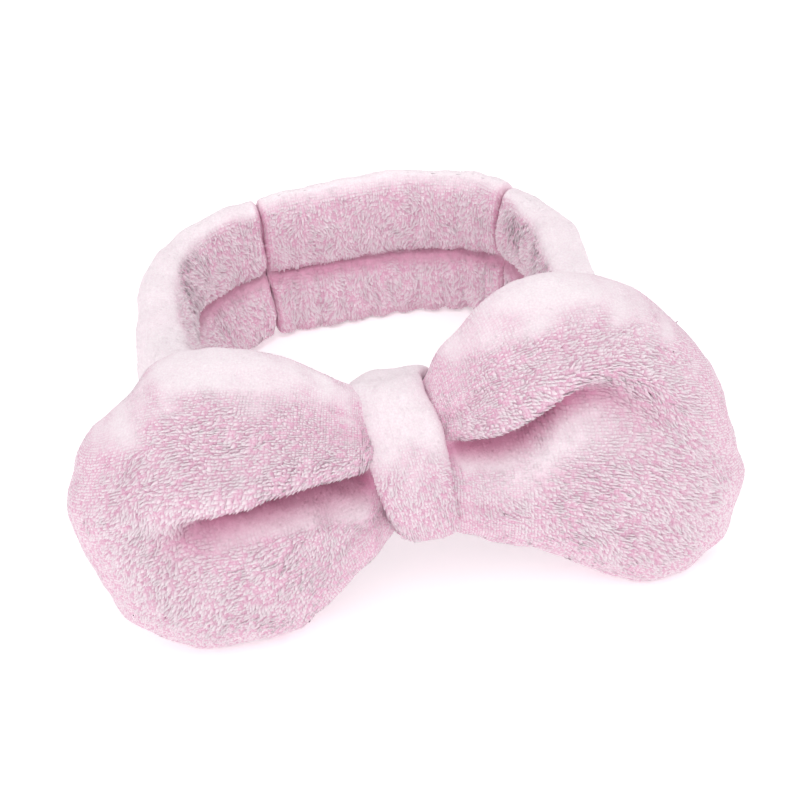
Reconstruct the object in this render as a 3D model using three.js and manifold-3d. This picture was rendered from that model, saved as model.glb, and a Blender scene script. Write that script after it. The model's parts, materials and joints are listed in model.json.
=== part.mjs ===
// Plush spa headband with a bow. Millimetres, +Z up, the bow faces -Y.
//
// A loop of fleece sleeve stands on its lower edge. Its front and sides are one sleeve; its back is a
// second sleeve, gathered on a woven elastic, and the two are sewn end to end at the back corners. A padded
// bow is pinched at its waist by a wrap of fleece, which also goes round the front of the loop. The bow is
// taller than the band, so the band climbs a little towards the front and the bow leans back on it.
// The origin is on the surface the headband stands on, in the middle of its footprint.

import * as THREE from "three";
import { LoftGeometry } from "three/addons/geometries/LoftGeometry.js";
import { mergeVertices } from "three/addons/utils/BufferGeometryUtils.js";
import Module from "manifold-3d";

const wasm = await Module();
wasm.setup();

// ---- Driving dimensions ----

// The loop, over its outer faces.
const loopWidth = 150;
const loopDepth = 150;
const frontSquareness = 2.25;
const backSquareness = 3;

// The sleeve: its puffed section, its cloth, and the crease that the closing seam pulls into its inner face.
const bandHeight = 55;
const bandThickness = 22;
const backHeight = 54;
const backThickness = 18;
const fleece = 3;
const creaseDepth = 4;
const creaseHalfHeight = 5;
const pinchedCrease = 2.4;

// Where the two sleeves are sewn together, in degrees round the loop from the front, and how much each seam
// draws the section in.
const rightJoin = 133;
const leftJoin = 157;
const joinDraw = 2;
const joinDrawReach = 12;
const joinPlugHalfLength = 3;

// The woven elastic in the back sleeve, and the sewing thread.
const elasticWidth = 30;
const elasticThickness = 1.6;
const threadRadius = 0.6;

// The wrap round the bow's waist and the front of the band, and what it pinches.
const wrapWidth = 27;
const pinchHeight = 40;
const pinchThickness = 12;
const pinchReach = 28;
const leanReach = 52;
const wrapEase = 1.1;
const wrapFullness = 1.2;
const waistHeight = 34;
const waistThickness = 12;
const stitchCount = 5;
const stitchReach = 3;

// The bow, and its two lobes: each swells from its root, is tallest part of the way out and is oval from there
// to its tip. Its middle wanders up or down on the way, and a fold runs out from the knot along its front.
const bowSpan = 200;
const bowHeight = 95;
const bowLean = 18 * THREE.MathUtils.DEG2RAD;
const lobeRootHeight = 56;
const lobeFrontDepth = 20;
const lobeBackDepth = 11;
const foldDepth = 8;
const foldHalfHeight = 8;
const leftLobe = { side: "left", sign: -1, tallestAt: 0.5, rootRise: -1, tipRise: -2, foldRise: [-6, -7] };
const rightLobe = { side: "right", sign: 1, tallestAt: 0.55, rootRise: 4, tipRise: -18, foldRise: [0, 13] };

// Gaps between pieces that touch, and how far the soft underside is flattened by the surface it stands on.
const gap = 0.3;
const restFlat = 1.2;

// How finely the soft sections are drawn.
const sectionSides = 16;
const bowSectionSides = 20;
const lobeStations = 14;

// ---- Derived sizes ----

const halfWidth = (loopWidth - bandThickness) / 2;
const halfDepth = (loopDepth - bandThickness / 2 - backThickness / 2) / 2;
const wrapHalf = wrapWidth / 2;
const waistCentre = (pinchThickness + waistThickness) / 2 + gap;
const waistHalf = waistThickness / 2;
const hingeX = wrapHalf + gap + waistHalf;
const lobeStart = wrapHalf + gap;
const lobeLength = bowSpan / 2 - lobeStart;
const halfBow = bowHeight / 2;
const restHeight = bandHeight / 2 - restFlat;
const frontHeight = halfBow * Math.cos(bowLean) - waistCentre * Math.sin(bowLean) - restFlat;
const frontLift = frontHeight - restHeight;
const turnShare = (angle) => angle / (2 * Math.PI);
const rightJoinU = rightJoin / 360;
const leftJoinU = 1 - leftJoin / 360;
const joinGap = turnShare(gap / 2 / halfWidth);
const plugReach = turnShare(joinPlugHalfLength / halfWidth);
const pinchedU = turnShare(Math.asin((wrapHalf + 1) / halfDepth));

// ---- Helpers ----

const { smoothstep, lerp } = THREE.MathUtils;

/** A number raised to a power with its sign kept: the step that turns a circle into a rounder or squarer oval. */
const signedPower = (value, power) => Math.sign(value) * Math.abs(value) ** power;

/** A manifold solid from a closed three.js geometry. */
function solidOf(geometry) {
  const bare = new THREE.BufferGeometry();
  bare.setAttribute("position", geometry.getAttribute("position"));
  bare.setIndex(geometry.getIndex());
  const merged = mergeVertices(bare);
  return new wasm.Manifold(
    new wasm.Mesh({
      numProp: 3,
      vertProperties: merged.getAttribute("position").array,
      triVerts: new Uint32Array(merged.getIndex().array),
    }),
  );
}

/** A three.js geometry from a manifold solid. */
function geometryOf(solid) {
  const mesh = solid.getMesh();
  const geometry = new THREE.BufferGeometry();
  geometry.setAttribute("position", new THREE.BufferAttribute(mesh.vertProperties, 3));
  geometry.setIndex(new THREE.BufferAttribute(mesh.triVerts, 1));
  geometry.computeVertexNormals();
  return geometry;
}

/** A closed solid lofted through sections, capped at both ends. */
function loft(sections) {
  return solidOf(new LoftGeometry(sections, { capStart: true, capEnd: true }));
}

/** A box as a solid, from its lowest and highest corners. */
function block(low, high) {
  const size = new THREE.Vector3().subVectors(high, low);
  const middle = new THREE.Vector3().addVectors(low, high).multiplyScalar(0.5);
  return solidOf(new THREE.BoxGeometry(...size).translate(...middle));
}

/** A solid cut off at the surface the headband stands on, where that surface is seen from a group's frame. */
function standing(solid, group) {
  const reach = loopWidth + bowSpan;
  const under = new THREE.BoxGeometry(2 * reach, 2 * reach, reach).translate(0, 0, -reach / 2);
  group.updateMatrixWorld(true);
  under.applyMatrix4(group.matrixWorld.clone().invert());
  return solid.subtract(solidOf(under));
}

/** count + 1 numbers evenly spread from one value to another. */
const spread = (from, to, count) => Array.from({ length: count + 1 }, (_, i) => lerp(from, to, i / count));

// ---- Materials ----

const pinkFleece = new THREE.MeshStandardMaterial({ color: 0xeed6e1, roughness: 1, metalness: 0 });
const deepFleece = new THREE.MeshStandardMaterial({ color: 0xe6c4d3, roughness: 1, metalness: 0 });
const whiteElastic = new THREE.MeshStandardMaterial({ color: 0xf4f1ee, roughness: 0.75, metalness: 0 });
const wadding = new THREE.MeshStandardMaterial({ color: 0xfaf9f7, roughness: 1, metalness: 0 });
const pinkThread = new THREE.MeshStandardMaterial({ color: 0xe9bccf, roughness: 0.6, metalness: 0 });

// ---- The loop ----

/** The line down the middle of the band. u is the share of a turn from the front, towards +X. */
class BandLine extends THREE.Curve {
  getPoint(u, target = new THREE.Vector3()) {
    const across = Math.sin(2 * Math.PI * u);
    const along = -Math.cos(2 * Math.PI * u);
    const power = along < 0 ? frontSquareness : backSquareness;
    const reach =
      (Math.abs(across / halfWidth) ** power + Math.abs(along / halfDepth) ** power) ** (-1 / power);
    const y = reach * along;
    return target.set(reach * across, y, restHeight + frontLift * smoothstep(-y, 0, halfDepth));
  }
}

const bandLine = new BandLine();

/** The band's outward and upward directions at u. Near the front the band leans back with the bow. */
function bandFrame(u) {
  const middle = bandLine.getPoint(u);
  const tangent = bandLine.getPoint(u + 1e-4).sub(bandLine.getPoint(u - 1e-4));
  const outward = new THREE.Vector3(tangent.y, -tangent.x, 0).normalize();
  const share = (reach) => (middle.y < 0 ? 1 - smoothstep(Math.abs(middle.x), wrapHalf + 1, wrapHalf + reach) : 0);
  const sideways = new THREE.Vector3().crossVectors(outward, new THREE.Vector3(0, 0, 1));
  const lean = share(leanReach) * bowLean;
  const upward = new THREE.Vector3(0, 0, 1).applyAxisAngle(sideways, lean);
  const facing = outward.applyAxisAngle(sideways, lean);
  return { middle, facing, upward, held: share(pinchReach) };
}

/** The band's section sizes at u: puffed along the sides, pinched under the wrap, drawn in at the joins. */
function bandSizes(u, held) {
  const place = (u + 1) % 1;
  const fromJoin = Math.min(Math.abs(place - rightJoinU), Math.abs(place - leftJoinU)) / turnShare(1 / halfWidth);
  const draw = joinDraw * (1 - smoothstep(fromJoin, 0, joinDrawReach));
  const atBack = smoothstep(Math.min(place, 1 - place), rightJoinU * 0.6, rightJoinU);
  return {
    height: lerp(lerp(bandHeight, backHeight, atBack), pinchHeight, held) - draw,
    thickness: lerp(lerp(bandThickness, backThickness, atBack), pinchThickness, held) - draw,
    crease: lerp(creaseDepth, pinchedCrease, held),
  };
}

/** How far the crease pushes the inner face out at a height above the band's middle. */
const creaseAt = (height, depth) => depth * Math.exp(-((height / creaseHalfHeight) ** 2));

/** One section of the band at u, drawn inset from its skin. */
function bandSection(u, inset) {
  const { middle, facing, upward, held } = bandFrame(u);
  const { height, thickness, crease } = bandSizes(u, held);
  return Array.from({ length: sectionSides }, (_, i) => {
    const angle = (2 * Math.PI * i) / sectionSides;
    const up = -(height / 2 - inset) * signedPower(Math.sin(angle), 0.8);
    let out = (thickness / 2 - inset) * signedPower(Math.cos(angle), 0.7);
    if (out < 0) out += creaseAt(up, crease);
    return middle.clone().addScaledVector(facing, out).addScaledVector(upward, up);
  });
}

/** A solid length of the band's section, from one u to another. */
const bandLength = (from, to, steps, inset) => loft(spread(from, to, steps).map((u) => bandSection(u, inset)));

/** A sleeve of fleece along the band, open at both ends, from a list of u. */
function sleeve(stations) {
  const longer = [...stations];
  longer[0] -= joinGap;
  longer[longer.length - 1] += joinGap;
  const [skin, cavity] = [
    [stations, 0],
    [longer, fleece],
  ].map(([places, inset]) => loft(places.map((u) => bandSection(u, inset))));
  return skin.subtract(cavity);
}

/** A round thread along a curve. */
function thread(curve, steps) {
  const ring = new THREE.Shape().absarc(0, 0, threadRadius, 0, 2 * Math.PI);
  return new THREE.ExtrudeGeometry(ring, { curveSegments: 3, steps, extrudePath: curve });
}

/** The closing seam's thread, which runs in the bottom of the crease and ends just short of the joins. */
function closingSeam(stations) {
  const inside = [stations[0] + joinGap, ...stations.slice(1, -1), stations.at(-1) - joinGap];
  const points = inside.map((u) => {
    const { middle, facing, held } = bandFrame(u);
    const { thickness, crease } = bandSizes(u, held);
    return middle.addScaledVector(facing, crease - thickness / 2 - 1.5 * gap - threadRadius);
  });
  return thread(new THREE.CatmullRomCurve3(points), stations.length - 1);
}

/** The seam allowances folded into both sleeves at a join, which close them and hold the elastic's end. */
const joinSeam = (u) => bandLength(u - plugReach, u + plugReach, 2, fleece + 2 * gap);

/** The woven elastic, a flat strip that follows the back sleeve from join to join. */
function backElastic() {
  const end = plugReach + 2 * joinGap;
  const sections = spread(rightJoinU + end, leftJoinU - end, 12).map((u) => {
    const { middle, facing, upward } = bandFrame(u);
    const out = [1, 1, -1, -1].map((side) => (side * elasticThickness) / 2 + creaseDepth / 2);
    const up = [1, -1, -1, 1].map((side) => (side * elasticWidth) / 2);
    return out.map((reach, i) =>
      middle.clone().addScaledVector(facing, reach).addScaledVector(upward, up[i]),
    );
  });
  return loft(sections);
}

// ---- The bow, in its own frame: x along the bow, y up its face, z out of its front ----

const ovalSection = (x, halfHeight, halfDepthHere, centre, power, sides) =>
  Array.from({ length: sides }, (_, i) => {
    const angle = (2 * Math.PI * i) / sides;
    return new THREE.Vector3(
      x,
      halfHeight * signedPower(Math.sin(angle), power),
      centre - halfDepthHere * signedPower(Math.cos(angle), power),
    );
  });

/** The bow's gathered waist, inside the wrap. */
const bowWaist = () =>
  loft([-wrapHalf, wrapHalf].map((x) => ovalSection(x, waistHeight / 2, waistHalf, waistCentre, 0.8, bowSectionSides)));

/** How far the middle of the band, which curves, is behind its foremost point at the wrap's edges. */
const bandSag = halfDepth + bandLine.getPoint(pinchedU).y;

/** The wrap's hollow: from behind the pinched band to the front of the bow's waist. */
const wrapBack = -(pinchThickness / 2 + bandSag + gap);
const wrapFront = waistCentre + waistHalf + gap;

/** The wrap: a ring of fleece round the waist and the pinched band, a little fuller at its middle. */
function knotWrap() {
  const inner = (wrapFront - wrapBack) / 2;
  const tall = pinchHeight / 2 + wrapEase;
  const centre = (wrapFront + wrapBack) / 2;
  const ring = (x, grow) => ovalSection(x, tall + grow, inner + grow, centre, 0.42, bowSectionSides);
  const outer = spread(-wrapHalf, wrapHalf, 6).map((x) => {
    const fuller = wrapFullness * Math.cos((x / wrapHalf) * 1.2);
    return ring(x, fleece + fuller);
  });
  const cavity = [-wrapWidth, wrapWidth].map((x) => ring(x, 0));
  return loft(outer).subtract(loft(cavity));
}

/** The zigzag thread that closes the wrap on its inner side, where its ends lap. */
function knotStitches() {
  const behind = wrapBack - fleece - wrapFullness;
  const points = spread(-pinchHeight / 3, pinchHeight / 3, 2 * stitchCount).map(
    (y, i) => new THREE.Vector3(i % 2 ? stitchReach : -stitchReach, y, behind - gap - threadRadius),
  );
  return thread(new THREE.CatmullRomCurve3(points, false, "catmullrom", 0.2), 6 * stitchCount);
}

/** Half the lobe's height, a share of the way from the wrap to its tip. */
function lobeHalfHeight(lobe, share) {
  const root = lobeRootHeight / 2;
  if (share < lobe.tallestAt) return root + (halfBow - root) * Math.sin((Math.PI / 2) * (share / lobe.tallestAt));
  const past = (share - lobe.tallestAt) / (1 - lobe.tallestAt);
  return halfBow * Math.sqrt(1 - past * past);
}

/** How deep a lobe's back can be at x before it meets the band behind it. */
function roomBehind(x) {
  const beside = spread(pinchedU / 2, 0.25, 60)
    .map((u) => ({ middle: bandLine.getPoint(u), sizes: bandSizes(u, bandFrame(u).held) }))
    .filter(({ middle, sizes }) => Math.abs(middle.x - Math.abs(x)) < sizes.thickness / 2);
  const front = Math.max(...beside.map(({ middle, sizes }) => sizes.thickness / 2 - (halfDepth + middle.y)));
  return waistCentre - front - 2 * gap;
}

/** How deep one face of the lobe stands off its middle plane: round at the hinge, full at the middle, thin at the tip. */
function lobeDepth(share, full) {
  const x = lobeStart + share * lobeLength;
  if (x < hingeX) return Math.sqrt(Math.max(0, waistHalf ** 2 - (hingeX - x) ** 2));
  const out = (x - hingeX) / (bowSpan / 2 - hingeX);
  const puff = smoothstep(out, 0.05, 0.5);
  const tip = Math.sqrt(Math.max(0, 1 - out ** 3));
  return lerp(waistHalf, full, puff) * tip;
}

/** One section of the lobe, drawn inset from its skin. The fold down its front fades out towards the tip. */
function lobeSection(lobe, share, inset) {
  const x = lobe.sign * (lobeStart + share * lobeLength);
  const middle = lerp(lobe.rootRise, lobe.tipRise, share ** 3);
  const tall = Math.max(0.5, lobeHalfHeight(lobe, share) - inset);
  const front = Math.max(0.4, lobeDepth(share, lobeFrontDepth) - inset);
  const back = Math.max(0.4, Math.min(lobeDepth(share, lobeBackDepth), roomBehind(x)) - inset);
  const fold = Math.min(foldDepth, 0.45 * front) * (1 - smoothstep(share, 0.5, 0.85));
  const foldRise = lerp(...lobe.foldRise, smoothstep(share, 0.1, 0.5));
  const section = Array.from({ length: bowSectionSides }, (_, i) => {
    const angle = (2 * Math.PI * i) / bowSectionSides;
    const y = middle + tall * signedPower(Math.sin(angle), 0.9);
    const lean = -Math.cos(angle);
    const crease = fold * Math.exp(-(((y - foldRise) / foldHalfHeight) ** 2));
    const z = lean > 0 ? front * signedPower(lean, 0.7) - crease : back * signedPower(lean, 0.7);
    return new THREE.Vector3(x, y, waistCentre + z);
  });
  return section;
}

/** The whole lobe as one solid, inset from its skin. Stations crowd towards both ends, where it is round. */
function lobeBody(lobe, inset) {
  const ends = inset / lobeLength;
  const sections = Array.from({ length: lobeStations }, (_, i) => {
    const even = (i + 0.3) / (lobeStations - 0.4);
    const share = lerp(ends, 1 - ends, 0.5 - 0.5 * Math.cos(Math.PI * even));
    return lobeSection(lobe, share, inset);
  });
  return loft(lobe.sign > 0 ? sections : sections.reverse());
}

/** Everything on one side of the bow's middle plane, kept back from it by half the gap between two faces. */
function halfSpace(side) {
  const near = waistCentre + (side * gap) / 2;
  const far = waistCentre + side * bowSpan;
  return block(
    new THREE.Vector3(-bowSpan, -bowSpan, Math.min(near, far)),
    new THREE.Vector3(bowSpan, bowSpan, Math.max(near, far)),
  );
}

// ---- Assembly ----

const headband = new THREE.Group();
const band = new THREE.Group();
const bow = new THREE.Group();
bow.position.set(0, -halfDepth, frontHeight);
bow.rotation.x = Math.PI / 2 - bowLean;
headband.add(band, bow);

/** Adds a named piece to a group. */
function addPiece(group, name, geometry, material) {
  const piece = new THREE.Mesh(geometry, material);
  piece.name = name;
  group.add(piece);
}

const leftSide = spread(leftJoinU - 1 + joinGap, -pinchedU, 16);
const rightSide = spread(pinchedU, rightJoinU - joinGap, 16);
const frontStations = [...leftSide, -pinchedU / 2, 0, pinchedU / 2, ...rightSide];
const backStations = spread(rightJoinU + joinGap, leftJoinU - joinGap, 14);
addPiece(band, "front_sleeve", geometryOf(standing(sleeve(frontStations), band)), pinkFleece);
addPiece(band, "back_sleeve", geometryOf(standing(sleeve(backStations), band)), deepFleece);
addPiece(band, "back_elastic", geometryOf(backElastic()), whiteElastic);
addPiece(band, "right_join_seam", geometryOf(joinSeam(rightJoinU)), deepFleece);
addPiece(band, "left_join_seam", geometryOf(joinSeam(leftJoinU)), deepFleece);
addPiece(band, "front_closing_seam", closingSeam(frontStations), pinkThread);
addPiece(band, "back_closing_seam", closingSeam(backStations), pinkThread);

addPiece(bow, "knot_wrap", geometryOf(knotWrap()), pinkFleece);
addPiece(bow, "knot_stitches", knotStitches(), pinkThread);
addPiece(bow, "bow_waist", geometryOf(bowWaist()), deepFleece);

for (const lobe of [leftLobe, rightLobe]) {
  const shell = standing(lobeBody(lobe, 0).subtract(lobeBody(lobe, fleece)), bow);
  const filling = geometryOf(lobeBody(lobe, fleece + 3 * gap));
  addPiece(bow, lobe.side + "_lobe_front_panel", geometryOf(shell.intersect(halfSpace(1))), pinkFleece);
  addPiece(bow, lobe.side + "_lobe_back_panel", geometryOf(shell.intersect(halfSpace(-1))), pinkFleece);
  addPiece(bow, lobe.side + "_lobe_wadding", filling, wadding);
}

const footprint = new THREE.Box3().setFromObject(headband, true);
headband.position.y = -(footprint.min.y + footprint.max.y) / 2;

export default headband;
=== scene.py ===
import json
import math

import bpy
import numpy as np
from bpy.props import FloatProperty, FloatVectorProperty, IntProperty, PointerProperty
from mathutils import Matrix, Vector
from mathutils.kdtree import KDTree


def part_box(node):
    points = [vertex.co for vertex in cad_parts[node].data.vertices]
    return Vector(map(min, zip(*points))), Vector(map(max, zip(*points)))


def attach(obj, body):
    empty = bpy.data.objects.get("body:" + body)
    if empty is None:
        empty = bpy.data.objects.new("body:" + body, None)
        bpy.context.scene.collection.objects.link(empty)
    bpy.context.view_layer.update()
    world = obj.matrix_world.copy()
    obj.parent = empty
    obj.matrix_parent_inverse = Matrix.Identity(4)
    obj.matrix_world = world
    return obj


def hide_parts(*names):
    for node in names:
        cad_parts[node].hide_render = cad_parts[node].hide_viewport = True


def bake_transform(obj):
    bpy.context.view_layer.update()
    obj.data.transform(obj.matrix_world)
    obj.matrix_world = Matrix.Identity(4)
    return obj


bl_info = {
    "name": "Plush spa headband",
    "version": (1, 0, 0),
    "blender": (4, 5, 0),
    "location": "3D View > Sidebar > Headband",
    "description": "Builds a plush headband with a padded bow on its packed model",
    "category": "Object",
}

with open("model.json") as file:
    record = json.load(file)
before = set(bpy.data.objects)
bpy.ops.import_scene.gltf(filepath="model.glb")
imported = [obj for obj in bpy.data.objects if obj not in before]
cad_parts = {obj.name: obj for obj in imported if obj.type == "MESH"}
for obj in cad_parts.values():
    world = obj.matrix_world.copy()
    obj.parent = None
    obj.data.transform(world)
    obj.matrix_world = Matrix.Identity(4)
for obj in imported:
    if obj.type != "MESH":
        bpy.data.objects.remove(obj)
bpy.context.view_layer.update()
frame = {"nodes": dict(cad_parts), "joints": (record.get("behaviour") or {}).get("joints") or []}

# Shapes are worked out in millimetres and made in metres.
MM = 0.001
JOINTS = {joint["name"]: joint for joint in frame["joints"]}
UP = np.array([0.0, 0.0, 1.0])

# The band's line and section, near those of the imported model: the line's half sizes, how square it is and
# its height, then the section's sizes at the back, in the knot, at the joins and at a sleeve's rolled ends.
LINE_HALF_WIDTH = 64.0
LINE_HALF_DEPTH = 65.0
FRONT_SQUARENESS = 2.25
BACK_SQUARENESS = 3.0
REST_HEIGHT = 26.3
FRONT_LIFT = 13.874
BACK_THICKNESS = 18.0
PINCH_HEIGHT = 40.0
PINCH_THICKNESS = 12.0
PINCHED_CREASE = 2.4
JOIN_DRAW = 2.0
JOIN_DRAW_REACH = 12.0
END_ROLL = 2.3
RIGHT_JOIN = 0.3694
LEFT_JOIN = 0.5639
LINE_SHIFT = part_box("back_sleeve")[1].y / MM - LINE_HALF_DEPTH - BACK_THICKNESS / 2

# The bow's own frame: along x, up its face, and out of its front.
HINGE = np.array(JOINTS["right_lobe_flex"]["pos_m"]) / MM
BOW_UP = np.array(JOINTS["right_lobe_flex"]["axis"])
BOW_OUT = np.array([0.0, -BOW_UP[2], BOW_UP[1]])
BOW_CENTRE = np.array([0.0, HINGE[1], HINGE[2]])
BOW_LEAN = math.asin(BOW_UP[1])
MIDDLE_DEPTH = 12.3

# How deep a lobe's front and back are just outside the knot, how far its skin stays inside its edge, and
# what its fold leaves of its depth. The fold's lip swells out and droops, and there is a slot under it.
NECK_DEPTH = 14.0
BACK_NECK_DEPTH = 6.6
EDGE_INSET = 1.2
LEAST_DEPTH = 4.5
LIP_SWELL = 1.6
LIP_DROOP = 3.6
LEFT_SLOT = 2.5
RIGHT_SLOT = 1.0

# The wrap's outer line, in the bow's frame, and the half thickness of its pad.
KNOT_FRONT = 24.0 - MIDDLE_DEPTH
KNOT_BACK = -9.2 - MIDDLE_DEPTH
KNOT_HALF_HEIGHT = 24.2
KNOT_RISE = 1.2
KNOT_HALF_PAD = 2.1

# How near to the tips' colour the fleece looks where its pile lies smooth.
# The pile is made smooth mostly where the skin faces up, so this paints those faces paler, as painted light.
EVEN_SHADE = 0.82
# Below 1, a tuft's pale colour reaches further down to its root.
PALE_REACH = 0.62
# The share of tufts that are long, and the length of the others beside them.
LONG_SHARE = 0.68
SHORT_TUFT = 0.25

# The closing seams' stitches: the distance from one to the next, their half length and their thread's radius.
STITCH_STEP = 4.0
STITCH_HALF_LENGTH = 1.5
THREAD_RADIUS = 0.42

# The camera's turn to the left, rise and roll in degrees, and its place in metres: the point that it looks
# at, its distance from there, and how far it is moved to the right and up.
CAMERA_ANGLES = (-5.37, 36.23, -6.07)
CAMERA_TARGET = (0, -0.01307, 0.035)
CAMERA_DISTANCE = 1.043
CAMERA_SHIFT = (0.00477, -0.00377)

# Each lobe's edge, in the bow's frame: along its top to its far corner, round its end, and along its foot
# to the same point.
LEFT_EDGE = {
    "top": [(-4, 20), (-9, 24), (-14, 28), (-18, 31), (-22, 33), (-30, 38), (-41, 42),
            (-54, 44), (-67, 43), (-80, 34)],
    "end": [(-80, 34), (-91, 25), (-98, 14), (-102, 4), (-100, -7), (-96, -21),
            (-90, -34), (-80, -42)],
    "foot": [(-4, -19), (-9, -24), (-16, -30), (-25, -38), (-39, -46), (-54, -48),
             (-68, -48), (-80, -42)],
}
RIGHT_EDGE = {
    "top": [(4, 20), (8, 27), (14, 35), (24, 43), (33, 48), (42, 50), (55, 50), (63, 48),
            (74, 41), (85, 30)],
    "end": [(85, 30), (92, 18), (97, 3), (99, -12), (100, -20), (96, -31),
            (92, -40), (85, -44)],
    "foot": [(4, -19), (10, -24), (15, -26), (24, -31), (37, -36), (50, -43),
             (64, -49), (77, -48), (85, -44)],
}
# The fold down each lobe's front: the rise of its lip along it, and its depth and width there.
LEFT_FOLD = [(0, 1.5, 12, 1), (-15, 1.8, 12.5, 1), (-23, 2.2, 12.5, 1), (-30, 2.5, 12.5, 1),
             (-38, 1.7, 12, 1), (-45, 1, 11.5, 1), (-51, 0.3, 10.5, 1), (-57, -0.5, 9, 1.1),
             (-63, -1.2, 7.5, 1.2), (-68, -2.2, 6, 1.2), (-73, -3.2, 4, 1.3), (-80, -4, 2, 1.4),
             (-88, -4, 0, 1.4), (-110, -4, 0, 1.4)]
RIGHT_FOLD = [(0, 7.4, 8, 0.7), (14, 7.4, 8, 0.7), (20, 7.2, 8.5, 0.7), (26, 7.3, 9, 0.8),
              (32, 9.4, 9.5, 0.8), (38, 13, 9.5, 0.9), (43, 16.8, 9, 0.9), (48, 18.8, 8, 1),
              (54, 19.6, 7, 1.2), (60, 18.5, 5.5, 1.4), (66, 15.5, 3.5, 1.5), (73, 11, 2, 1.6),
              (82, 6, 0, 1.6), (110, 6, 0, 1.6)]


# ---- The sizes and colours that a user would change ----

class BandSettings(bpy.types.PropertyGroup):
    """Sizes of the band's two sleeves."""

    height: FloatProperty(
        name="Band height", description="Height of the band at its sides", default=0.055,
        min=0.02, max=0.12, unit="LENGTH")
    thickness: FloatProperty(
        name="Band thickness", description="Puffed thickness of the band at its sides", default=0.022,
        min=0.008, max=0.04, unit="LENGTH")
    back_height: FloatProperty(
        name="Back height", description="Height of the gathered back stretch", default=0.054,
        min=0.02, max=0.12, unit="LENGTH")
    crease: FloatProperty(
        name="Crease depth", description="Depth of the crease along the band's inner face", default=0.0052,
        min=0.0, max=0.01, unit="LENGTH")
    gather: FloatProperty(
        name="Gather depth", description="Depth of the gathers in the back stretch", default=0.0013,
        min=0.0, max=0.004, unit="LENGTH")
    gather_length: FloatProperty(
        name="Gather length", description="Distance from one gather to the next", default=0.0085,
        min=0.003, max=0.03, unit="LENGTH")


class BowSettings(bpy.types.PropertyGroup):
    """Sizes of the bow's lobes and knot."""

    front_depth: FloatProperty(
        name="Front puff", description="How far a lobe's front stands off its middle", default=0.0205,
        min=0.005, max=0.04, unit="LENGTH")
    back_depth: FloatProperty(
        name="Back puff", description="How far a lobe's back stands off its middle", default=0.0105,
        min=0.004, max=0.02, unit="LENGTH")
    root_depth: FloatProperty(
        name="Root depth", description="Half the thickness of a lobe where the knot grips it", default=0.0078,
        min=0.003, max=0.015, unit="LENGTH")
    knot_width: FloatProperty(
        name="Knot width", description="Width of the wrap round the bow's middle", default=0.026,
        min=0.01, max=0.05, unit="LENGTH")
    padding: FloatProperty(
        name="Padding inset", description="Distance from a lobe's skin to its filling", default=0.0045,
        min=0.002, max=0.01, unit="LENGTH")


class FleeceSettings(bpy.types.PropertyGroup):
    """The pile of the fleece and its colours."""

    pile_height: FloatProperty(
        name="Pile height", description="How far a tuft stands off the cloth", default=0.0009,
        min=0.0003, max=0.004, unit="LENGTH")
    pile_reach: FloatProperty(
        name="Pile reach", description="How far a tuft lies over along the cloth", default=0.0015,
        min=0.0, max=0.006, unit="LENGTH")
    tip_colour: FloatVectorProperty(
        name="Tip colour", description="Colour of the tufts' tips", default=(0.975, 0.92, 0.943),
        min=0.0, max=1.0, subtype="COLOR")
    # Painted shade: the pinker colour between the tufts. The thread takes it as its own colour.
    root_shade_and_thread_colour: FloatVectorProperty(
        name="Root colour", description="Colour between the tufts", default=(0.72, 0.38, 0.53),
        min=0.0, max=1.0, subtype="COLOR")
    # Painted shade: the darker pink deep in folds and creases.
    fold_shade_colour: FloatVectorProperty(
        name="Fold colour", description="Colour deep in a fold", default=(0.66, 0.27, 0.42),
        min=0.0, max=1.0, subtype="COLOR")


class StageSettings(bpy.types.PropertyGroup):
    """The floor, the light and the camera."""

    floor_colour: FloatVectorProperty(
        name="Floor colour", description="Colour of the floor", default=(0.96, 0.96, 0.96),
        min=0.0, max=1.0, subtype="COLOR")
    key_power: FloatProperty(
        name="Key light", description="Power of the large soft light overhead and in front",
        default=2.2, min=0.0, max=200.0, unit="POWER")
    sky_strength: IntProperty(
        name="Sky strength", description="Strength of the even white light all round, in percent",
        default=86, min=0, max=300, subtype="PERCENTAGE")
    lens: FloatProperty(
        name="Lens", description="Focal length of the camera, in millimetres", default=152.5,
        min=20.0, max=400.0)


# ---- Small helpers for numbers and curves ----

def smooth_step(value, low, high):
    """0 below low, 1 above high, and smooth between them."""
    share = np.clip((np.asarray(value, float) - low) / (high - low), 0, 1)
    return share * share * (3 - 2 * share)


def mix(low, high, share):
    """A share of the way from low to high."""
    return low + (high - low) * share


def signed_power(value, power):
    """A power that keeps the sign of its base."""
    return np.sign(value) * np.abs(value) ** power


def unit(vectors):
    """Vectors brought to length one."""
    return vectors / np.maximum(np.linalg.norm(vectors, axis=-1, keepdims=True), 1e-9)


def swell(value, centre, width):
    """1 at a centre, falling smoothly to almost nothing at twice the width from it."""
    return np.exp(-((value - centre) / width) ** 2)


def ripple(points, size, seed, waves=28):
    """Smooth, even noise from about -1 to 1 at each point, its features of about that size in millimetres."""
    random = np.random.default_rng(seed)
    directions = unit(random.normal(size=(waves, 3)))
    turns = directions * (2 * np.pi / (size * random.uniform(1.4, 3.2, (waves, 1))))
    phases = random.uniform(0, 2 * np.pi, waves)
    return np.cos(points @ turns.T + phases).sum(-1) * math.sqrt(2 / waves) * 0.6


def along_curve(points, count):
    """Points evenly spaced by length along a smooth curve through the given ones."""
    points = np.asarray(points, float)
    ends = [2 * points[0] - points[1], *points, 2 * points[-1] - points[-2]]
    fine = []
    for before, start, stop, after in zip(ends, ends[1:], ends[2:], ends[3:]):
        for share in np.linspace(0, 1, 24, endpoint=False):
            fine.append(0.5 * (2 * start + (stop - before) * share
                               + (2 * before - 5 * start + 4 * stop - after) * share ** 2
                               + (3 * start - before - 3 * stop + after) * share ** 3))
    fine.append(points[-1])
    return even_steps(np.array(fine), np.linspace(0, 1, count))


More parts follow.
